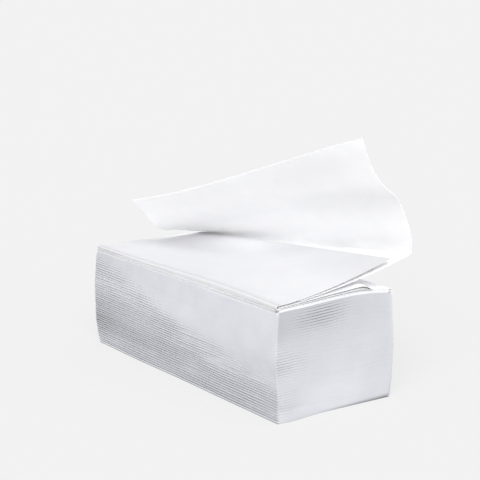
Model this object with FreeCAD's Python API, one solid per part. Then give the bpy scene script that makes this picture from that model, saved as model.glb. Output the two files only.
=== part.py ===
"""A pack of interfolded V-fold paper towels, with the top towel pulled up.

Every towel is one sheet folded once along its middle. Odd towels have their fold along the back of
the stack and even towels along the front, and each one's two panels lie in the folds of its
neighbours. So every fold seen from outside is four layers high: the towel's own two panels, and
between them one panel of the towel above and one of the towel below. Pulling a towel draws up the
panel of the next one.

The four top towels are loose and are solids of their own. The ones below are pressed into one
block, which keeps its folds as ridges on the front and back and its layers as steps on the ends.

Frame, in mm: X along the folds, Y from the front folds (-Y) to the back folds (+Y), Z up. The
origin is the centre of the stack's underside. The pulled corner is at +X +Y.
"""

import FreeCAD, Part
import math
import os

Vec = FreeCAD.Vector

# ---- the towel ---------------------------------------------------------------------------------
towel_length = 240.0  # along the fold
panel_width = 100.0  # one panel: half of the 200 mm sheet
sheet = 0.40  # two embossed plies
air = 0.065  # between one layer and the next
layer = sheet + air

# ---- the pressed stack -------------------------------------------------------------------------
stack_width = 100.0  # front folds to back folds, at the base
front_folds = 41  # as many at the back
layers_per_fold = 4
fold_height = layers_per_fold * layer
stack_height = (front_folds + 0.5) * fold_height  # the back folds sit half a fold higher
nose = 0.42  # how far a pressed fold rounds out
side_bulge = 1.7  # the fold sides swell at mid height
end_bulge = 1.5  # and so do the cut ends
fold_wander = 0.16  # uneven depth from one fold to the next
end_wander = 0.22  # uneven length from one fold's towels to the next

# ---- the loose towels on top -------------------------------------------------------------------
loose_nose = 0.72  # how far a loose fold rounds out
tuck = 1.3  # a free edge stops this far short of the fold that holds it
station_x = (-0.5, -0.25, 0.0, 0.18, 0.34, 0.5)  # sections along the length, as shares of it
puff_height = 3.0  # how far the second towel's fold has opened
puff_shares = (0.0, 0.17, 0.67, 1.0, 0.9, 0.5)  # of that, at each section

ridge_height = 11.0  # the loosened layers arch at the +X end, to about half of this
ridge_y = 21.0  # where the arch is highest
ridge_foot_y = 35.0  # where it has come down again, towards the back
ridge_steep = 1.7  # how late the arch rises from the front
ridge_local = 1.5  # how late it rises along X, from the middle to the +X end
ridge_shares = (0.25, 0.5, 0.75, 1.0)  # of its height, for the loose layers from the lowest up

corner_lift = 21.7  # the second towel's upper panel, lifted at its back corner
lift_steep = 1.45  # how late the lift rises from the front

# ---- the raised towel --------------------------------------------------------------------------
crease_far_y = 55.5  # its fold at the -X end
crease_near_y = 67.6  # and at the +X end, pulled further out
crease_open = 1.6  # its panels part by this much at the -X end of the fold
crease_bend = 1.4  # the rounding on each side of the fold line
lower_sag = 4.6  # its lower panel hangs this far below the second towel at the +X end
sag_fade = 0.8  # the share of that which is gone a panel's width in from the fold
corner_in = 28.0  # how far the raised far corner has swung in along X

# How the raised panel bends at its -X end, middle and +X end. Each pair is a share of the panel from
# the fold line, and the heading there in degrees: 0 is towards the back, 90 is up, 180 is towards
# the front.
raised_far = ((0.0, 180), (0.25, 165), (0.5, 175), (0.7, 130), (1.0, 140))
raised_middle = ((0.0, 130), (0.3, 140), (0.6, 155), (1.0, 145))
raised_near = ((0.0, 80), (0.15, 110), (0.4, 120), (0.5, 150), (0.7, 125), (1.0, 105))

# ---- how finely the loose towels are drawn -----------------------------------------------------
panel_points = 7  # across a panel
bend_points = 5  # round a fold
walk_steps = 8  # across a panel of the raised towel


def line(a, b):
    return Part.LineSegment(a, b).toShape()


def swell(z, most):
    """A barrel: nothing at the base and top, `most` at mid height."""
    share = 2.0 * z / stack_height - 1.0
    return most * (1.0 - share * share)


def wander(number, most):
    """The same small unevenness every time the model is built."""
    return most * math.sin(2.4 * number + 1.7 * math.sin(1.3 * number))


# ---- the pressed stack -------------------------------------------------------------------------


def flank(side, z):
    """Where neighbouring folds meet, on the front (side -1) or the back (side 1)."""
    return side * (stack_width / 2.0 - nose + swell(z, side_bulge))


def folds(side, first_z):
    """The edges of a column of pressed folds, from first_z upwards."""
    edges = []
    for number in range(front_folds):
        low = first_z + number * fold_height
        middle = low + fold_height / 2.0
        high = low + fold_height
        tip = flank(side, middle) + side * (nose + wander(number + 20 * side, fold_wander))
        foot = Vec(0, flank(side, low), low)
        head = Vec(0, flank(side, high), high)
        edges.append(Part.Arc(foot, Vec(0, tip, middle), head).toShape())
    return edges


def pressed_stack():
    """Towels five and down as one solid. Its top layer is the fifth towel's upper panel, and the
    slot under that takes the fourth towel's lower panel."""
    top = stack_height
    slot_high = top - layer
    slot_low = top - fold_height / 2.0
    plate_edge = flank(-1, top) + tuck
    slot_end = flank(1, top) - tuck
    back_foot = fold_height / 2.0
    base = (Vec(0, flank(-1, 0), 0), Vec(0, flank(1, 0), 0), Vec(0, flank(1, back_foot), back_foot))
    rim = (
        Vec(0, flank(1, top), top),
        Vec(0, plate_edge, top),
        Vec(0, plate_edge, slot_high),
        Vec(0, slot_end, slot_high),
        Vec(0, slot_end, slot_low),
        Vec(0, flank(-1, slot_low), slot_low),
    )
    edges = [line(a, b) for corners in (base, rim) for a, b in zip(corners, corners[1:])]
    edges += folds(1, back_foot) + folds(-1, 0.0)

    section = Part.Face(Part.Wire(Part.__sortEdges__(edges)))
    reach = towel_length / 2.0 + end_bulge + 2.0 * end_wander
    section.translate(Vec(-reach, 0, 0))
    return section.extrude(Vec(2.0 * reach, 0, 0)).common(cut_ends())


def cut_ends():
    """The stack's side view as a prism: each fold's towels have a length of their own."""
    heights = [number * fold_height for number in range(front_folds + 1)] + [stack_height]
    outline = []
    for side in (1, -1):
        steps = []
        for number, (low, high) in enumerate(zip(heights, heights[1:])):
            x = towel_length / 2.0 + swell((low + high) / 2.0, end_bulge)
            x += wander(7 * number + side, end_wander)
            steps += [Vec(side * x, 0, low), Vec(side * x, 0, high)]
        outline += steps[::side]
    outline.append(outline[0])
    depth = stack_width + 4.0 * side_bulge
    profile = Part.Face(Part.makePolygon(outline))
    profile.translate(Vec(0, -depth / 2.0, 0))
    return profile.extrude(Vec(0, depth, 0))


# ---- the loose towels --------------------------------------------------------------------------


def level(number):
    """Height of a loose layer's middle, counted from 0 on top of the pressed stack."""
    return stack_height + (number + 0.5) * layer


def along(x_share):
    """0 at the -X end, 1 at the +X end."""
    return x_share + 0.5


def arch(y, x_share, share):
    """How far the arch at the +X end lifts a loose layer: `share` of the full height."""
    fade = max(0.0, 2.0 * x_share) ** ridge_local
    front = -stack_width / 2.0
    if y <= ridge_y:
        rise = ((y - front) / (ridge_y - front)) ** ridge_steep
    else:
        rise = max(0.0, (ridge_foot_y - y) / (ridge_foot_y - ridge_y))
        rise = rise * rise * (3.0 - 2.0 * rise)
    return share * ridge_height * fade * rise


def lift(y, x_share):
    """How far the pull has lifted the second towel's upper panel."""
    share = max(0.0, (y + stack_width / 2.0) / stack_width)
    return corner_lift * along(x_share) * share**lift_steep


def puff(y, x_share):
    """How far the second towel's fold has opened, fading towards its free edge."""
    opened = puff_height * puff_shares[station_x.index(x_share)]
    return opened * (0.5 - y / stack_width)


def curve(points):
    """A smooth curve: through two or three points, or drawn by more of them as its poles."""
    if len(points) > 3:
        bezier = Part.BezierCurve()
        bezier.setPoles(points)
        return bezier.toShape()
    spline = Part.BSplineCurve()
    spline.interpolate(points)
    return spline.toShape()


def with_normals(points, first=None, last=None):
    """Each point with the normal of the line there. The ends take `first` and `last` if given."""
    pairs = []
    for number, point in enumerate(points):
        run = points[min(number + 1, len(points) - 1)] - points[max(number - 1, 0)]
        pairs.append([point, Vec(0, -run.z, run.y).normalize()])
    if first:
        pairs[0][1] = first
    if last:
        pairs[-1][1] = last
    return pairs


def sheet_wire(stretches, x, slant=0.0, pivot_y=0.0):
    """The outline of a sheet round its middle line, in the upright plane through x. That plane may
    be turned by `slant` about pivot_y. The line comes as stretches that join end to end, each a
    list of places with the unit normal there."""

    def place(point):
        return Vec(x + slant * (pivot_y - point.y), point.y, point.z)

    skins = []
    for half in (sheet / 2.0, -sheet / 2.0):
        skins.append([[place(point + normal * half) for point, normal in run] for run in stretches])
    top, bottom = skins
    edges = [curve(run) for run in top]
    edges.append(line(top[-1][-1], bottom[-1][-1]))
    edges += [curve(list(reversed(run))) for run in reversed(bottom)]
    edges.append(line(bottom[0][0], top[0][0]))
    return Part.Wire(edges)


def between(start, end, count):
    return [start + (end - start) * number / (count - 1) for number in range(count)]


def folded_towel(side, low_height, high_height, free_y):
    """A V-folded towel with its fold on the front (side -1) or the back (side 1), and both free
    edges at free_y. The heights are functions of y and of the share along X."""
    wires = []
    fold_y = side * (stack_width / 2.0 - nose)
    across = between(-fold_y, fold_y, panel_points)
    across[0] = free_y
    for x_share in station_x:
        low = [Vec(0, y, low_height(y, x_share)) for y in across]
        high = [Vec(0, y, high_height(y, x_share)) for y in reversed(across)]
        middle = (low[-1] + high[0]) * 0.5
        half = (high[0].z - low[-1].z) / 2.0
        reach = min(half, loose_nose)
        bend = []
        for angle in between(-90.0, 90.0, bend_points):
            out = side * reach * math.cos(math.radians(angle))
            rise = half * math.sin(math.radians(angle))
            outward = Vec(0, half * out / reach, reach * rise / half).normalize()
            bend.append([middle + Vec(0, out, rise), outward * -side])
        run_in = with_normals(low, last=bend[0][1])
        run_out = with_normals(high, first=bend[-1][1])
        wires.append(sheet_wire((run_in, bend, run_out), x_share * towel_length))
    return Part.makeLoft(wires, True, True)


def fourth_towel():
    """Fold at the front. Its lower panel is in the slot of the pressed stack."""
    return folded_towel(
        -1,
        lambda y, x: level(-2),
        lambda y, x: level(1) + arch(y, x, ridge_shares[1]),
        stack_width / 2.0 - nose - 2.0 * tuck,
    )


def third_towel():
    """Fold at the back. It reaches in between the panels of the fourth and the second."""
    return folded_towel(
        1,
        lambda y, x: level(0) + arch(y, x, ridge_shares[0]),
        lambda y, x: level(3) + arch(y, x, ridge_shares[3]),
        -stack_width / 2.0 + nose + tuck,
    )


def top_height(y, x_share):
    """The second towel's upper panel."""
    return level(5) + puff(y, x_share) + lift(y, x_share)


def second_towel():
    """Fold at the front, puffed open. Its upper panel is the top of the pack, lifted at +X +Y."""
    return folded_towel(
        -1,
        lambda y, x: level(2) + arch(y, x, ridge_shares[2]),
        top_height,
        stack_width / 2.0 - nose - tuck,
    )


# ---- the raised towel --------------------------------------------------------------------------


def crease_y(x_share):
    return crease_far_y + (crease_near_y - crease_far_y) * along(x_share)


def under(y, x_share):
    """The raised towel's lower panel, below the second towel's upper one."""
    from_crease = (crease_y(x_share) - y) / panel_width
    sag = lower_sag * along(x_share) * (1.0 - sag_fade * from_crease)
    return top_height(y, x_share) - layer - sag


def lower_panel(x_share):
    """Places across the lower panel, from the fold line inwards."""
    places = []
    step = (panel_width - crease_bend) / walk_steps
    y = crease_y(x_share) - crease_bend
    for _ in range(walk_steps + 1):
        places.append(Vec(0, y, under(y, x_share)))
        slope = (under(y, x_share) - under(y - step, x_share)) / step
        y -= step / math.hypot(1.0, slope)
    return places


def heading(bends, place):
    """The direction in degrees at a share of the panel, between the listed ones."""
    for (start, first), (end, second) in zip(bends, bends[1:]):
        if place <= end:
            return first + (second - first) * (place - start) / (end - start)
    return bends[-1][1]


def direction(share, distance):
    """Where the raised panel is heading at a distance from its fold, a smooth blend of the three
    sections along it."""
    place = distance / panel_width
    far, middle, near = (heading(bends, place) for bends in (raised_far, raised_middle, raised_near))
    rest = 1.0 - share
    degrees = rest * (rest - share) * far + 4.0 * share * rest * middle + share * (share - rest) * near
    angle = math.radians(degrees)
    return Vec(0, math.cos(angle), math.sin(angle))


def upper_panel(tip, share):
    """Places across the raised panel, from the fold line outwards."""
    places = [tip + direction(share, 0.0) * crease_bend]
    step = (panel_width - crease_bend) / walk_steps
    for number in range(walk_steps):
        run = direction(share, crease_bend + (number + 0.5) * step)
        places.append(places[-1] + run * step)
    return places


def raised_towel():
    """The first towel, pulled up by its upper panel."""
    wires = []
    for x_share in station_x:
        share = along(x_share)
        y = crease_y(x_share)
        low = lower_panel(x_share)
        tip = Vec(0, y, under(y, x_share) + crease_open / 2.0)
        high = upper_panel(tip + Vec(0, 0, crease_open / 2.0 * (1.0 - share)), share)
        run_in = with_normals(low[::-1])
        run_out = with_normals(high)
        chord = high[0] - low[0]
        bend = [run_in[-1], [tip, Vec(0, -chord.z, chord.y).normalize()], run_out[0]]
        slant = corner_in * (1.0 - share) / panel_width
        wires.append(sheet_wire((run_in, bend, run_out), x_share * towel_length, slant, y))
    return Part.makeLoft(wires, True, True)


os.makedirs("parts", exist_ok=True)
for make in (pressed_stack, fourth_towel, third_towel, second_towel, raised_towel):
    shape = make()
    shape.exportStep(os.path.join("parts", make.__name__ + ".step"))
    print(make.__name__, "valid", shape.isValid(), "solids", len(shape.Solids))
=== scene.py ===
"""A pack of interfolded paper towels with the top towel pulled up, dressed over its solids."""
import math

import bpy
import numpy as np
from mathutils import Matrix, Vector


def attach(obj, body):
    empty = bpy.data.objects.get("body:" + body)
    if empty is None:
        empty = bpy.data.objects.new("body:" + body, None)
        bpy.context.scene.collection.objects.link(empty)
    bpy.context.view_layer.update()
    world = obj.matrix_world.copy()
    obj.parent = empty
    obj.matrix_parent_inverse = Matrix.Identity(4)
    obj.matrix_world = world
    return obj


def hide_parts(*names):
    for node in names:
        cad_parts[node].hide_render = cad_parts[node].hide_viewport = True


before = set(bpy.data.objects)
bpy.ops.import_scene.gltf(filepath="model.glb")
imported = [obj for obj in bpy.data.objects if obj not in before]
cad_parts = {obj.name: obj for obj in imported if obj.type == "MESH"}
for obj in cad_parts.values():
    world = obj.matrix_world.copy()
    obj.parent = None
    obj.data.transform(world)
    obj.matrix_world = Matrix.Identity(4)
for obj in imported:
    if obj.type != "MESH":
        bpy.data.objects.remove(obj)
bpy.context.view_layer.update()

MM = 0.001

# ---- sizes of the pack, in mm, the same as the frame's solids -------------------------------------
TOWEL_LENGTH = 240.0
PANEL_WIDTH = 100.0
STACK_WIDTH = 100.0
LAYER = 0.465
LAYERS_PER_FOLD = 4
FOLDS = 41
FOLD_HEIGHT = LAYERS_PER_FOLD * LAYER
STACK_HEIGHT = (FOLDS + 0.5) * FOLD_HEIGHT
PRESSED_HEIGHT = FOLDS * FOLD_HEIGHT
NOSE = 0.42
LOOSE_NOSE = 0.72
TUCK = 1.3
SIDE_BULGE = 1.7
END_BULGE = 1.5

# A towel's thickness in mm.
SHEET = 0.43

# Edges sharper than this, in degrees, stay crisp.
SHARP_EDGE = 50


# ---- small tools ----------------------------------------------------------------------------------


def smooth(t):
    """A soft step from 0 to 1."""
    t = np.clip(t, 0.0, 1.0)
    return t * t * (3.0 - 2.0 * t)


def hill(x, middle, reach):
    """1 at the middle, falling softly to nothing about two reaches away."""
    return np.exp(-(((x - middle) / reach) ** 2))


def eased(at, x, y):
    """A soft curve through the listed places."""
    samples, window = 241, 17
    fine = np.linspace(x[0], x[-1], samples)
    value = np.interp(fine, x, y)
    for _ in range(2):
        padded = np.pad(value, window // 2, mode="edge")
        value = np.convolve(padded, np.ones(window) / window, mode="valid")
    return np.interp(at, fine, value)


def soft_field(seed, across, up):
    """Even, cloudy unevenness between -1 and 1, read at u, v from 0 to 1."""
    lattice = np.random.default_rng(seed).uniform(-1.0, 1.0, (up + 2, across + 2))

    def read(u, v):
        x = np.clip(u, 0.0, 1.0) * across
        y = np.clip(v, 0.0, 1.0) * up
        i, j = np.floor(x).astype(int), np.floor(y).astype(int)
        fx, fy = smooth(x - i), smooth(y - j)
        low = lattice[j, i] * (1.0 - fx) + lattice[j, i + 1] * fx
        high = lattice[j + 1, i] * (1.0 - fx) + lattice[j + 1, i + 1] * fx
        return low * (1.0 - fy) + high * fy

    return read


def pick(piece):
    """Selects this piece alone and makes it the active one."""
    bpy.ops.object.select_all(action="DESELECT")
    piece.select_set(True)
    bpy.context.view_layer.objects.active = piece


def grid_piece(name, columns, rows, shape, painted_shading):
    """A grid whose points are placed by shape(u, v), which gives x, y and z in mm. The last argument
    gives how light the paper is painted at u, v, its painted shade and painted light, kept as an
    attribute."""
    bpy.ops.object.select_all(action="DESELECT")
    bpy.ops.mesh.primitive_grid_add(x_subdivisions=columns, y_subdivisions=rows, size=1.0)
    piece = bpy.context.object
    piece.name = name
    piece.data.name = name
    count = len(piece.data.vertices)
    flat = np.empty(count * 3)
    piece.data.vertices.foreach_get("co", flat)
    flat = flat.reshape(count, 3)
    u = np.round((flat[:, 0] + 0.5) * columns) / columns
    v = np.round((flat[:, 1] + 0.5) * rows) / rows
    placed = np.stack(shape(u, v), axis=1) * MM
    piece.data.vertices.foreach_set("co", placed.ravel())
    kept = piece.data.attributes.new("painted_shading", "FLOAT", "POINT")
    kept.data.foreach_set("value", painted_shading(u, v))
    piece.data.update()
    return piece


def smooth_shaded(piece):
    """Shades a piece smoothly, apart from its sharp edges."""
    pick(piece)
    bpy.ops.object.shade_smooth_by_angle(angle=math.radians(SHARP_EDGE))


def paper_piece(name, columns, rows, shape, painted_shading):
    """A curved sheet with the thickness of one towel."""
    piece = grid_piece(name, columns, rows, shape, painted_shading)
    pick(piece)
    solid = piece.modifiers.new("two_plies", "SOLIDIFY")
    solid.thickness = SHEET * MM
    solid.offset = 0.0
    bpy.ops.object.modifier_apply(modifier=solid.name)
    smooth_shaded(piece)
    return piece


# ---- how high the loose layers lie, in mm ---------------------------------------------------------

# The top of the pressed towels has sprung up at the +X end, and the loose layers above it arch over
# a hollow. Both are given across the pack, from front to back: the bow in mm, and the arch in shares
# of its height. Over the last few millimetres the loose layers' edges droop.
BOW_Y = np.array((-50.0, -37.0, -24.0, -11.0, 2.0, 15.0, 29.0, 46.0, 50.0))
BOW_RISE = np.array((0.0, 0.7, 1.1, 1.9, 2.6, 3.0, 2.5, 0.6, 0.0))
ARCH_Y = np.array((-50.0, -35.0, -22.0, -9.0, 8.6, 21.0, 26.4, 30.0, 34.0, 50.0))
ARCH_RISE = np.array((0.13, 0.27, 0.44, 0.6, 0.76, 0.93, 0.95, 0.62, 0.0, 0.0))
ARCH_HEIGHT = 7.4
RISE_CURVE = 1.5
DROOP_LENGTH = 3.0
DROOP_SHARE = 0.3

# The top towel's front fold is puffed open along the pack, and its back corner is lifted at +X.
PUFF_X = np.array((-0.5, -0.25, 0.0, 0.18, 0.34, 0.5)) * TOWEL_LENGTH
PUFF_HEIGHT = np.array((0.0, 0.5, 2.0, 3.0, 2.7, 1.5))
CORNER_LIFT = 21.7
LIFT_CURVE = 1.45

# The raised towel's fold runs slantwise behind the pack, and a pocket opens under the top towel.
CREASE_Y = 55.5
CREASE_SLANT = 12.1
POCKET = 4.6
POCKET_FRONT = 0.03
POCKET_CURVE = 1.35
EDGE_HANG = 2.4
HANG_FROM = 0.35


def level(number):
    """The middle of a flat layer, counted up from 0 just over the pressed towels."""
    return STACK_HEIGHT + (number + 0.5) * LAYER


def along(x):
    """The share of the towel's length from its -X end."""
    return np.clip(x / TOWEL_LENGTH + 0.5, 0.0, 1.0)


def rising(x):
    """From 0 at the middle of the pack to 1 at its +X end."""
    return np.clip(2.0 * x / TOWEL_LENGTH, 0.0, 1.0) ** RISE_CURVE


def droop(x):
    """How far a loose sheet's edge hangs down at the +X end, from 0 to 1."""
    return smooth((x - TOWEL_LENGTH / 2.0 + DROOP_LENGTH) / DROOP_LENGTH)


def bow(x, y):
    """How far the top of the pressed towels has sprung up."""
    return rising(x) * eased(y, BOW_Y, BOW_RISE)


def arch(x, y, share):
    """How far a loose layer has risen: a share of the way from the bow to the whole arch."""
    whole = ARCH_HEIGHT * rising(x) * eased(y, ARCH_Y, ARCH_RISE)
    base = bow(x, y)
    return base + (share - min(share, DROOP_SHARE) * droop(x)) * np.maximum(whole - base, 0.0)


def layer(number, share):
    """The height of a loose layer, read at x, y. Its share of the arch is from 0 to 1."""
    return lambda x, y: level(number) + arch(x, y, share)


def top_height(x, y):
    """The top towel's upper panel."""
    puff = eased(x, PUFF_X, PUFF_HEIGHT) * (0.5 - y / STACK_WIDTH)
    from_front = np.clip((y + STACK_WIDTH / 2.0) / STACK_WIDTH, 0.0, 2.0)
    return level(5) + puff + CORNER_LIFT * along(x) * from_front**LIFT_CURVE


def crease_y(x):
    """Where the raised towel's fold is."""
    return CREASE_Y + CREASE_SLANT * along(x)


def under(x, y):
    """The raised towel's lower panel: close under the top towel in front, open towards the crease."""
    outward = np.clip(1.0 - (crease_y(x) - y) / (crease_y(x) + STACK_WIDTH / 2.0), 0.0, 1.0)
    gap = POCKET * along(x) * (POCKET_FRONT + (1.0 - POCKET_FRONT) * outward**POCKET_CURVE)
    hanging = EDGE_HANG * droop(x) * np.maximum(outward - HANG_FROM, 0.0) * (1.0 - outward)
    return top_height(x, y) - LAYER - gap - hanging


# ---- the loose towels -----------------------------------------------------------------------------

LOOSE_COLUMNS = 96
LOOSE_ROWS = 120

# The side that a fold is on, and the share of a towel on each side of the fold line that bends.
FRONT, BACK = -1, 1
BEND_SHARE = 0.03


def v_fold(side, low_height, high_height, tuck):
    """Places round a folded towel: v runs from one free edge over the fold to the other. The fold is
    in front or at the back, and the free edges stop a tuck short of the opposite folds."""
    fold_y = side * (STACK_WIDTH / 2.0 - NOSE)
    free_y = -side * (STACK_WIDTH / 2.0 - NOSE - tuck)
    panel_share = 0.5 - BEND_SHARE

    def shape(u, v):
        x = (u - 0.5) * TOWEL_LENGTH
        to_fold = np.clip(v / panel_share, 0.0, 1.0)
        from_fold = np.clip((v - 0.5 - BEND_SHARE) / panel_share, 0.0, 1.0)
        y_low = free_y + (fold_y - free_y) * to_fold
        y_high = fold_y + (free_y - fold_y) * from_fold
        z_low = low_height(x, y_low)
        z_high = high_height(x, y_high)

        at_fold = np.full_like(x, fold_y)
        bottom, top = low_height(x, at_fold), high_height(x, at_fold)
        half = (top - bottom) / 2.0
        turn = np.clip((v - 0.5) / BEND_SHARE, -1.0, 1.0) * math.pi / 2.0
        y_bend = fold_y + side * np.minimum(half, LOOSE_NOSE) * np.cos(turn)
        z_bend = (top + bottom) / 2.0 + half * np.sin(turn)

        on_panel = [v < 0.5 - BEND_SHARE, v > 0.5 + BEND_SHARE]
        y = np.select(on_panel, [y_low, y_high], y_bend)
        z = np.select(on_panel, [z_low, z_high], z_bend)
        return x, y, z

    return shape


# How the raised panel bends at its -X end, middle and +X end: shares of the panel from the fold line,
# and the headings there in degrees, where 0 is towards the back, 90 up and 180 towards the front.
RAISED_FAR = ((0.0, 0.25, 0.5, 0.7, 1.0), (180, 165, 175, 130, 140))
RAISED_MIDDLE = ((0.0, 0.3, 0.6, 1.0), (130, 140, 155, 145))
RAISED_NEAR = ((0.0, 0.15, 0.4, 0.5, 0.7, 1.0), (80, 110, 120, 150, 125, 105))
PANEL_STEPS = 120

# How far the bend reaches from the fold line and how much it opens, and how far the raised panel's
# -X corner has swung in along X.
CREASE_ROUND = 1.4
CREASE_RISE = 0.8
FAR_CORNER_SWING = 28.0


def raised_heading(share, place):
    """The direction across the raised panel, in radians, a soft blend of the three sections."""
    far, middle, near = (
        eased(place, *bends) for bends in (RAISED_FAR, RAISED_MIDDLE, RAISED_NEAR)
    )
    rest = 1.0 - share
    degrees = rest * (rest - share) * far + 4.0 * share * rest * middle
    return np.radians(degrees + share * (share - rest) * near)


def raised_shape(u, v):
    """The raised towel. v runs from the lower panel's free edge over the fold to the raised edge."""
    x = (u - 0.5) * TOWEL_LENGTH
    share = along(x)
    fold = crease_y(x)
    step = (PANEL_WIDTH - CREASE_ROUND) / PANEL_STEPS

    y = fold - CREASE_ROUND
    lower = [(y, under(x, y))]
    for _ in range(PANEL_STEPS):
        slope = (under(x, y) - under(x, y - step)) / step
        y = y - step / np.hypot(1.0, slope)
        lower.append((y, under(x, y)))

    angle = raised_heading(share, 0.0)
    tip_z = under(x, fold) + CREASE_RISE
    y = fold + CREASE_ROUND * np.cos(angle)
    z = tip_z + CREASE_RISE * (1.0 - share) + CREASE_ROUND * np.sin(angle)
    upper = [(y, z)]
    for number in range(PANEL_STEPS):
        angle = raised_heading(share, (CREASE_ROUND + (number + 0.5) * step) / PANEL_WIDTH)
        y = y + step * np.cos(angle)
        z = z + step * np.sin(angle)
        upper.append((y, z))

    line = lower[::-1] + [(fold, tip_z)] + upper
    ys, zs = (np.array(places) for places in zip(*line))
    place = v * (len(line) - 1)
    first = np.clip(np.floor(place).astype(int), 0, len(line) - 2)
    part = place - first
    here = np.arange(len(v))
    y = ys[first, here] * (1.0 - part) + ys[first + 1, here] * part
    z = zs[first, here] * (1.0 - part) + zs[first + 1, here] * part
    x = x + FAR_CORNER_SWING * (1.0 - share) / PANEL_WIDTH * (fold - y)
    return x, y, z


# ---- painted shade and painted light on the loose towels' paper -----------------------------------

# 1 is bare white paper, and all of these are painted shade and painted light. The values named TONE
# are how light a towel's paper is painted as a whole, and the others are how much is taken off as
# painted shade or added as painted light in one place. u runs along a towel to +X, and v across it,
# with its fold at 0.5.
RAISED_UPPER_FAR, RAISED_UPPER = 0.03, 0.15
RAISED_CREASE, RAISED_BEND, RAISED_CREASE_MIDDLE = 0.22, 0.15, 0.15
RAISED_EDGE, RAISED_EDGE_NEAR, RAISED_NEAR_END = 0.04, 0.14, 0.09
TOP_TONE, TOP_CORNER = 0.663, 0.06
TOP_FOLD_UNDER, TOP_FOLD_OVER, TOP_NOSE, TOP_NOSE_FAR = 0.26, 0.1, 0.1, 0.06
FRONT_FOLD_TONE, FRONT_FOLD_DARK, FRONT_FOLD_ENDS, FRONT_NOSE = 0.94, 0.19, 0.06, 0.26
FRONT_FOLD_CUT, BACK_FOLD_CUT = 0.25, 0.3


def cut_end(u):
    """1 on the cut edge at the +X end, where painted shade goes, and 0 on the rest of a towel."""
    return smooth((u - 0.985) / 0.015)


def front_fold(v):
    """1 round a towel's front fold and 0 on its flat panels."""
    return smooth((v - 0.475) / 0.02) * smooth((0.55 - v) / 0.02)


def fold_nose(v):
    """1 where the fold stands out furthest and 0 a millimetre above and below."""
    return hill(v, 0.5, 0.014)


def raised_painted_shading(u, v):
    """Painted shade on the raised panel: darker near its fold and to its top edge, where most light
    falls on it.
    """
    near_fold = RAISED_CREASE * hill(v, 0.52, 0.05) + RAISED_BEND * hill(v, 0.62, 0.12)
    near_fold *= smooth((u - 0.55) / 0.35)
    mid_length = smooth((u - 0.46) / 0.1) * smooth((0.81 - u) / 0.14)
    near_fold += RAISED_CREASE_MIDDLE * mid_length * hill(v, 0.51, 0.025)
    near_edge = RAISED_EDGE + RAISED_EDGE_NEAR * smooth((u - 0.5) / 0.4)
    near_edge *= smooth((v - 0.8) / 0.15)
    near_end = smooth((u - 0.55) / 0.15) * (1.0 - 0.8 * smooth((v - 0.72) / 0.12))
    upper = (RAISED_UPPER_FAR + RAISED_UPPER * smooth(u / 0.4)) * smooth((v - 0.6) / 0.12)
    return 1.0 - upper - near_fold - near_edge - RAISED_NEAR_END * near_end


def top_painted_shading(u, v):
    """Painted shade on the top towel. It is left off under the raised panel, where the towel's back edge
    meets the fold, so that shadowed pocket is painted whitest; there is more painted shade at the lifted
    +X corner and on the front fold's nose, and painted light just under the nose.
    """
    covered = smooth((0.62 - u) / 0.35) * smooth((v - 0.76) / 0.2)
    corner = smooth((u - 0.6) / 0.35) * smooth((v - 0.75) / 0.2)
    far_end = smooth((0.25 - u) / 0.2)
    on_fold = TOP_FOLD_UNDER * hill(v, 0.47, 0.012) - TOP_FOLD_OVER * hill(v, 0.53, 0.015)
    on_fold -= (TOP_NOSE + TOP_NOSE_FAR * far_end) * fold_nose(v)
    return TOP_TONE + (1.0 - TOP_TONE) * covered - TOP_CORNER * corner + on_fold


def front_fold_painted_shading(u, v):
    """Painted shade on the lower front fold, which is in the shade of the one above it: over the fold,
    more towards its ends, on its nose and on its cut edge at +X.
    """
    to_ends = smooth((0.25 - u) / 0.2) + smooth((u - 0.6) / 0.4)
    on_fold = (FRONT_FOLD_DARK + FRONT_FOLD_ENDS * to_ends) * front_fold(v)
    on_fold += FRONT_NOSE * fold_nose(v - 0.006)
    return FRONT_FOLD_TONE - on_fold - FRONT_FOLD_CUT * cut_end(u)


def back_fold_painted_shading(u, v):
    """The back fold towel shows only its cut edge, which is given painted shade at the +X end."""
    return 1.0 - BACK_FOLD_CUT * cut_end(u)


# ---- the pressed towels ---------------------------------------------------------------------------

ROWS_PER_FOLD = 6
SIDE_COLUMNS = 132
END_COLUMNS = 48
MERGE_DISTANCE = 0.01

# How far the faces stand out, the lines go in and the layers sway up and down, in mm.
FAR_BULGE = 2.3
FOOT_SPREAD = 3.0
FACE_SWELL = 0.5
FRONT_BANDS = 0.7
END_STEP = 0.03
GROOVE = 0.9
LINE_SWAY = 0.35

# Shares: how open the lines are at the back, how uneven the noses of open folds are, and how much of
# the lowest fold stays shut.
BACK_LINES = 0.7
NOSE_UNEVEN = 0.45
SHUT_FOOT = 0.6

# Painted shade and painted light on the pressed faces: how light the faces are painted, and how much
# is taken off as painted shade or added as painted light in one place.
SIDE_TONE, END_TONE = 0.765, 0.705
FRONT_LOW, FRONT_FAR, FRONT_BAND, FRONT_MID, FRONT_FOOT = 0.2, 0.12, 0.16, 0.07, 0.2
FOOT_ROW, FIRST_FOLD, FIRST_GROOVE, TOP_ROW = 0.45, 0.3, 0.35, 0.22
END_HIGH, END_MID, END_LOW, END_FOOT, END_FOOT_ROW = 0.15, 0.04, 0.12, 0.08, 0.75
SIDE_LINE, END_LINE = 0.2, 0.15
# The back and the -X end are given less painted shade, by this share.
BACK_LESS_PAINTED_SHADE = 0.4

fold_depth = soft_field(3, 9, FOLDS * 2)
line_sway = soft_field(5, 7, 9)
face_swell = soft_field(8, 4, 5)
end_step = soft_field(11, 6, FOLDS * 2)
pressed_patches = soft_field(21, 7, 6)


def swell(z, most):
    """How far a face bulges at half its height."""
    share = 2.0 * z / STACK_HEIGHT - 1.0
    return most * (1.0 - share * share)


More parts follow.
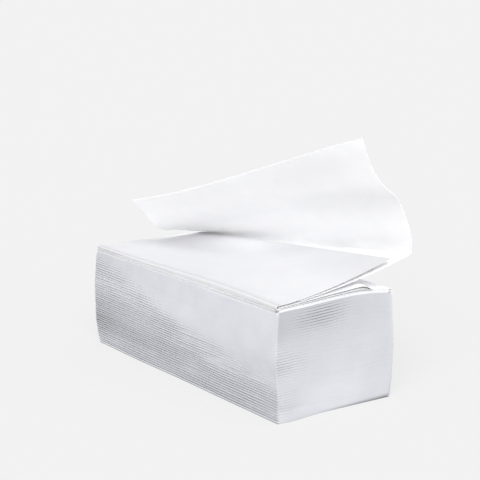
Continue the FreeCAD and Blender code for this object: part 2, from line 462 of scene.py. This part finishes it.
def spread_foot(y, z):
    """How far the lowest towels have spread out at the front of the +X end."""
    return FOOT_SPREAD * hill(y, 0.1, 0.18) * smooth((0.12 - z) / 0.12)


def far_bulge(z):
    """How much further the pack stands out at its -X end, all along its height."""
    uneven = 1.0 + 0.6 * hill(z, 0.24, 0.1) - 0.6 * hill(z, 0.6, 0.12)
    return FAR_BULGE * smooth(z / 0.1) * smooth((1.0 - z) / 0.1) * uneven


def front_lines(x, z):
    """How open the lines between the folds are, from 0 to 1: open low down, pressed shut high up."""
    low = smooth((0.88 - 0.6 * x - z) / 0.25 + 0.5)
    patches = 0.8 + 0.3 * fold_depth(x, z) + 0.6 * pressed_patches(x, z)
    return np.clip(0.06 + 0.94 * low * patches, 0.0, 1.0)


def end_lines(y, z):
    """How open the lines between the cut edges are: only in a few places, and pressed shut elsewhere."""
    high = 0.6 * hill(z, 0.53, 0.12)
    foot = 0.3 * hill(z, 0.1, 0.1) + 0.3 * hill(z, 0.25, 0.06)
    loosened = hill(y, 0.38, 0.18) * hill(z, 0.9, 0.11)
    return np.clip(hill(y, 0.0, 0.2) * (high + foot) + loosened, 0.0, 1.0)


def round_the_pack(u, v):
    """Where a point of the band is: shares of the way along X, along Y and up, and its row."""
    corners = np.array((0, SIDE_COLUMNS, END_COLUMNS, SIDE_COLUMNS, END_COLUMNS)).cumsum()
    place = u * corners[-1]
    front = np.clip((place - corners[0]) / SIDE_COLUMNS, 0.0, 1.0)
    right = np.clip((place - corners[1]) / END_COLUMNS, 0.0, 1.0)
    back = np.clip((place - corners[2]) / SIDE_COLUMNS, 0.0, 1.0)
    left = np.clip((place - corners[3]) / END_COLUMNS, 0.0, 1.0)
    row = np.round(v * FOLDS * ROWS_PER_FOLD)
    return front - back, right - left, row / (FOLDS * ROWS_PER_FOLD), row


def ridge(part):
    """The round nose of a fold, read at a part of the way up it: 0 in the grooves and 1 between."""
    return np.sqrt(1.0 - (2.0 * part - 1.0) ** 2)


def pressed_shape(u, v):
    """The four sides in one band round the pack. u runs round it, v up it."""
    across_x, across_y, share, row = round_the_pack(u, v)
    z = share * PRESSED_HEIGHT
    part_front = np.mod(row, ROWS_PER_FOLD) / ROWS_PER_FOLD
    part_back = np.mod(row + ROWS_PER_FOLD / 2, ROWS_PER_FOLD) / ROWS_PER_FOLD

    above_foot = share * FOLDS >= SHUT_FOOT
    open_front = front_lines(across_x, share) * above_foot
    depth = NOSE * (1.0 + NOSE_UNEVEN * fold_depth(across_x, share) * open_front)
    bands = FRONT_BANDS * hill(share, 0.62, 0.16) - FRONT_BANDS * hill(share, 0.2, 0.13)
    out_front = depth * (1.0 - open_front * (1.0 - ridge(part_front))) + bands
    out_front -= GROOVE * open_front * (part_front == 0.0)
    out_front += FACE_SWELL * face_swell(across_x, share)
    out_back = depth * ridge(part_back) - GROOVE * BACK_LINES * (part_back == 0.0)
    out_back += FACE_SWELL * face_swell(1.0 - across_x, share)
    out_end = END_STEP * end_step(across_y, share)
    out_end -= GROOVE * end_lines(across_y, share) * (part_front == 0.0)
    out_end += far_bulge(share) * (across_x == 0.0)
    out_end += spread_foot(across_y, share) * (across_x == 1.0)

    half_x = TOWEL_LENGTH / 2.0 + swell(z, END_BULGE)
    half_y = STACK_WIDTH / 2.0 - NOSE + swell(z, SIDE_BULGE)
    x = (2.0 * across_x - 1.0) * (half_x + out_end)
    y_low, y_high = -(half_y + out_front), half_y + out_back
    y = y_low + (y_high - y_low) * across_y
    settled = np.clip(4.0 * share * (1.0 - share), 0.0, 1.0)
    z = z + LINE_SWAY * line_sway(across_x, share) * settled
    z = z + bow(x, y) * smooth((share - 0.45) / 0.55) ** RISE_CURVE
    return x, y, z


def side_painted_shading(x, z):
    """Painted shade and painted light on the long sides: darker low down and towards -X, a painted
    highlight on the lowest fold's nose, painted shade in the line above it and along the foot, and
    lighter along the top row.
    """
    far = 1.0 - x
    painted_shading = 1.0 - FRONT_LOW * smooth((0.42 - z) / 0.35) - FRONT_FAR * far**3
    painted_shading -= FRONT_BAND * hill(z, 0.3, 0.1) * far**2 + FRONT_MID * hill(z, 0.45, 0.12)
    painted_shading += FRONT_FOOT * far**3 * smooth((0.2 - z) / 0.15)
    fold = z * FOLDS
    foot = FIRST_FOLD * hill(fold, 0.7, 0.3) - FIRST_GROOVE * hill(fold, 1.1, 0.25)
    painted_shading *= 1.0 + foot - FOOT_ROW * hill(fold, 0.0, 0.4)
    return painted_shading + TOP_ROW * smooth((z - 0.975) / 0.025)


def end_painted_shading(y, z):
    """Painted shade and painted light on the cut ends: darker high up in front and along their foot,
    lighter low down in the middle.
    """
    painted_shading = 1.0 - END_HIGH * smooth((z - 0.55) / 0.35) * (1.45 - 1.2 * y)
    painted_shading -= END_MID * hill(z, 0.5, 0.2) * (1.0 - y)
    painted_shading += END_LOW * hill(z, 0.15, 0.25) * hill(y, 0.5, 0.3)
    painted_shading -= END_FOOT * hill(y, 0.1, 0.16) * smooth((0.22 - z) / 0.15)
    foot_row = y * smooth((y - 0.15) / 0.4) * hill(z * FOLDS, 0.0, 0.4 + 0.7 * y)
    return painted_shading * (1.0 - END_FOOT_ROW * foot_row)


def pressed_painted_shading(u, v):
    """How light the pressed paper is painted: painted shade on the faces, more painted shade in the
    lines between open folds, and less on tight, flat folds.
    """
    x, y, z, row = round_the_pack(u, v)
    side = SIDE_TONE * side_painted_shading(x, z) * (1.0 + BACK_LESS_PAINTED_SHADE * ((y == 1.0) & (x < 1.0)))
    end = END_TONE * end_painted_shading(y, z) * (1.0 + BACK_LESS_PAINTED_SHADE * (x == 0.0))
    on_side = (y == 0.0) | (y == 1.0)
    line = np.where(on_side, SIDE_LINE * front_lines(x, z), END_LINE * end_lines(y, z))
    return np.where(on_side, side, end) * (1.0 - line * (np.mod(row, ROWS_PER_FOLD) == 0))


# The fifth towel's panel covers the top of the pressed towels. The shares of its rows are those
# where its back fold bends, and its stub goes in under the panel, in mm.
FIFTH_COLUMNS = 40
FIFTH_ROWS = 60
FIFTH_BEND_FROM, FIFTH_BEND_TO = 0.9, 0.96
FIFTH_STUB = 4.0


def fifth_shape(u, v):
    """The fifth towel's upper panel, round its back fold and a little way in under."""
    x = (u - 0.5) * TOWEL_LENGTH
    back = STACK_WIDTH / 2.0 - NOSE
    front = -back + TUCK
    run = np.clip(v / FIFTH_BEND_FROM, 0.0, 1.0)
    turn = np.clip((v - FIFTH_BEND_FROM) / (FIFTH_BEND_TO - FIFTH_BEND_FROM), 0.0, 1.0) * math.pi
    stub = np.clip((v - FIFTH_BEND_TO) / (1.0 - FIFTH_BEND_TO), 0.0, 1.0)
    radius = 1.5 * LAYER
    y = front + (back - front) * run + LOOSE_NOSE * np.sin(turn) - FIFTH_STUB * stub
    z = level(-1) - radius * (1.0 - np.cos(turn)) + bow(x, y)
    return x, y, z


def plain_tone(u, v):
    """Bare paper all over."""
    return np.ones_like(u)


def pressed_towels():
    """The band round the pack, closed at its top and foot, and the fifth towel's panel over it."""
    columns = 2 * (SIDE_COLUMNS + END_COLUMNS)
    piece = grid_piece("pressed_towels", columns, FOLDS * ROWS_PER_FOLD, pressed_shape, pressed_painted_shading)
    bpy.ops.object.mode_set(mode="EDIT")
    bpy.ops.mesh.select_all(action="SELECT")
    bpy.ops.mesh.remove_doubles(threshold=MERGE_DISTANCE * MM)
    bpy.ops.mesh.select_all(action="DESELECT")
    bpy.ops.mesh.select_non_manifold()
    bpy.ops.mesh.edge_face_add()
    bpy.ops.mesh.select_all(action="SELECT")
    bpy.ops.mesh.normals_make_consistent(inside=False)
    bpy.ops.object.mode_set(mode="OBJECT")
    smooth_shaded(piece)

    panel = paper_piece("fifth_towel_panel", FIFTH_COLUMNS, FIFTH_ROWS, fifth_shape, plain_tone)
    pick(piece)
    panel.select_set(True)
    bpy.ops.object.join()
    return piece


# ---- materials ------------------------------------------------------------------------------------

WHITE_LIGHT, WHITE_DARK = (0.99, 0.99, 1.0, 1.0), (0.96, 0.965, 0.98, 1.0)
# The pressed towels are the same white paper, painted grey as painted shade on the pack's sides.
PRESSED_LIGHT, PRESSED_DARK = (0.685, 0.692, 0.725, 1.0), (0.655, 0.662, 0.7, 1.0)
PAPER_ROUGHNESS = 0.92
PAPER_GLOSS = 0.15
CLOUD_SCALE, CLOUD_DETAIL = 60.0, 4.0
CLOUD_FROM, CLOUD_TO = 0.35, 0.65
FIBRE_SCALE, FIBRE_DETAIL = 1800.0, 3.0
FIBRE_STRENGTH, FIBRE_HEIGHT = 0.25, 0.0002
THIN_PAPER_GLOW = 0.003


def new_material(name):
    """An empty material with one shader on its surface."""
    material = bpy.data.materials.new(name)
    material.use_nodes = True
    nodes = material.node_tree.nodes
    nodes.clear()
    output = nodes.new("ShaderNodeOutputMaterial")
    shader = nodes.new("ShaderNodeBsdfPrincipled")
    material.node_tree.links.new(shader.outputs["BSDF"], output.inputs["Surface"])
    return material, shader


def noise(nodes, scale, detail):
    """An even pattern, the same in all directions."""
    pattern = nodes.new("ShaderNodeTexNoise")
    pattern.inputs["Scale"].default_value = scale
    pattern.inputs["Detail"].default_value = detail
    return pattern


def towel_paper(name, light, dark):
    """Soft, dull paper: cloudy between light and dark, times the piece's painted shade and painted
    light, with a fine fibre relief.
    """
    material, shader = new_material(name)
    nodes, links = material.node_tree.nodes, material.node_tree.links
    shader.inputs["Roughness"].default_value = PAPER_ROUGHNESS
    shader.inputs["Specular IOR Level"].default_value = PAPER_GLOSS
    place = nodes.new("ShaderNodeTexCoord")
    cloud = noise(nodes, CLOUD_SCALE, CLOUD_DETAIL)
    colour = nodes.new("ShaderNodeValToRGB")
    low, high = colour.color_ramp.elements
    low.position, low.color = CLOUD_FROM, dark
    high.position, high.color = CLOUD_TO, light
    links.new(place.outputs["Object"], cloud.inputs["Vector"])
    links.new(cloud.outputs["Fac"], colour.inputs["Fac"])

    # The piece's painted shade and painted light, kept as an attribute, scale the paper's colour.
    painted_shading = nodes.new("ShaderNodeAttribute")
    painted_shading.attribute_name = "painted_shading"
    toned = nodes.new("ShaderNodeVectorMath")
    toned.operation = "SCALE"
    links.new(colour.outputs["Color"], toned.inputs[0])
    links.new(painted_shading.outputs["Fac"], toned.inputs["Scale"])
    links.new(toned.outputs["Vector"], shader.inputs["Base Color"])

    fibre = noise(nodes, FIBRE_SCALE, FIBRE_DETAIL)
    bump = nodes.new("ShaderNodeBump")
    bump.inputs["Strength"].default_value = FIBRE_STRENGTH
    bump.inputs["Distance"].default_value = FIBRE_HEIGHT
    links.new(place.outputs["Object"], fibre.inputs["Vector"])
    links.new(fibre.outputs["Fac"], bump.inputs["Height"])
    links.new(bump.outputs["Normal"], shader.inputs["Normal"])
    return material


def thin_paper(name, light, dark):
    """The same paper where it is a single lifted sheet and lets light through."""
    material = towel_paper(name, light, dark)
    shader = material.node_tree.nodes["Principled BSDF"]
    shader.inputs["Subsurface Weight"].default_value = 1.0
    shader.inputs["Subsurface Scale"].default_value = THIN_PAPER_GLOW
    shader.inputs["Subsurface Radius"].default_value = (1.0, 1.0, 1.0)
    return material


# ---- the stage, the light and the camera ----------------------------------------------------------

FLOOR_SIZE = 60.0
FLOOR_COLOUR, FLOOR_GLOW = (0.16, 0.16, 0.16, 1.0), (1.0, 1.0, 0.995, 1.0)
FLOOR_GLOW_STRENGTH = 0.675
SKY_COLOUR, SKY_STRENGTH = (0.97, 0.97, 1.0, 1.0), 0.75

# Each softbox: where it shines to, its strength, and the angle in degrees that it fills.
SOFTBOXES = {
    "high_softbox": ((-0.6, 0.5, -0.62), 2.84, 50),
    "low_softbox": ((-0.8, 0.57, -0.25), 0.66, 30),
}

CAMERA_PLACE = (0.8389, -0.5839, 0.3157)
CAMERA_LEVEL_LOOK = (-0.8188, 0.5741)
CAMERA_PITCH = 11.96
CAMERA_LENS = 105.0
CAMERA_SENSOR = 36.0


def aimed(name, data, toward):
    """A light or camera that looks towards a direction."""
    holder = bpy.data.objects.new(name, data)
    bpy.context.collection.objects.link(holder)
    holder.rotation_euler = Vector(toward).to_track_quat("-Z", "Y").to_euler()
    return holder


def studio():
    """A pale, faintly lit floor, an even sky and two soft, far lights."""
    bpy.ops.object.select_all(action="DESELECT")
    bpy.ops.mesh.primitive_plane_add(size=FLOOR_SIZE, location=(0.0, 0.0, 0.0))
    floor = bpy.context.object
    floor.name = "studio_floor"
    material, shader = new_material("pale_floor")
    shader.inputs["Base Color"].default_value = FLOOR_COLOUR
    shader.inputs["Emission Color"].default_value = FLOOR_GLOW
    shader.inputs["Emission Strength"].default_value = FLOOR_GLOW_STRENGTH
    shader.inputs["Roughness"].default_value = 1.0
    shader.inputs["Specular IOR Level"].default_value = 0.0
    floor.data.materials.append(material)

    world = bpy.data.worlds.new("studio")
    bpy.context.scene.world = world
    world.use_nodes = True
    sky = world.node_tree.nodes["Background"]
    sky.inputs["Color"].default_value = SKY_COLOUR
    sky.inputs["Strength"].default_value = SKY_STRENGTH

    for name, (toward, strength, width) in SOFTBOXES.items():
        lamp = bpy.data.lights.new(name, "SUN")
        lamp.energy = strength
        lamp.angle = math.radians(width)
        aimed(name, lamp, toward)


def camera():
    """The view from the front of the +X end, a little from above."""
    lens = bpy.data.cameras.new("view")
    lens.lens = CAMERA_LENS
    lens.sensor_width = CAMERA_SENSOR
    pitch = math.radians(CAMERA_PITCH)
    look = [side * math.cos(pitch) for side in CAMERA_LEVEL_LOOK] + [-math.sin(pitch)]
    holder = aimed("view", lens, look)
    holder.location = CAMERA_PLACE
    bpy.context.scene.camera = holder


# ---- putting it together --------------------------------------------------------------------------

camera()
studio()

white = towel_paper("loose_towel_paper", WHITE_LIGHT, WHITE_DARK)
thin = thin_paper("lifted_towel_paper", WHITE_LIGHT, WHITE_DARK)
# The pressed towels' paper is painted grey: painted shade on the pack's sides.
grey = towel_paper("pressed_towel_paper_painted_shade", PRESSED_LIGHT, PRESSED_DARK)

top_shape = v_fold(FRONT, layer(2, 0.6), top_height, TUCK)
back_fold_shape = v_fold(BACK, layer(0, 0.0), layer(3, 1.0), TUCK)
front_fold_shape = v_fold(FRONT, layer(-2, 0.0), layer(1, 0.3), 2.0 * TUCK)
towels = (
    ("pulled_towel", "raised_towel", raised_shape, raised_painted_shading, thin),
    ("top_towel", "second_towel", top_shape, top_painted_shading, white),
    ("back_fold_towel", "third_towel", back_fold_shape, back_fold_painted_shading, white),
    ("front_fold_towel", "fourth_towel", front_fold_shape, front_fold_painted_shading, white),
)
for name, node, shape, painted_shading, paper in towels:
    piece = paper_piece(name, LOOSE_COLUMNS, LOOSE_ROWS, shape, painted_shading)
    piece.data.materials.append(paper)
    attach(piece, "root")
    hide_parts(node)

pressed = pressed_towels()
pressed.data.materials.append(grey)
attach(pressed, "root")
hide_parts("pressed_stack")

bpy.context.scene.view_settings.view_transform = "Standard"
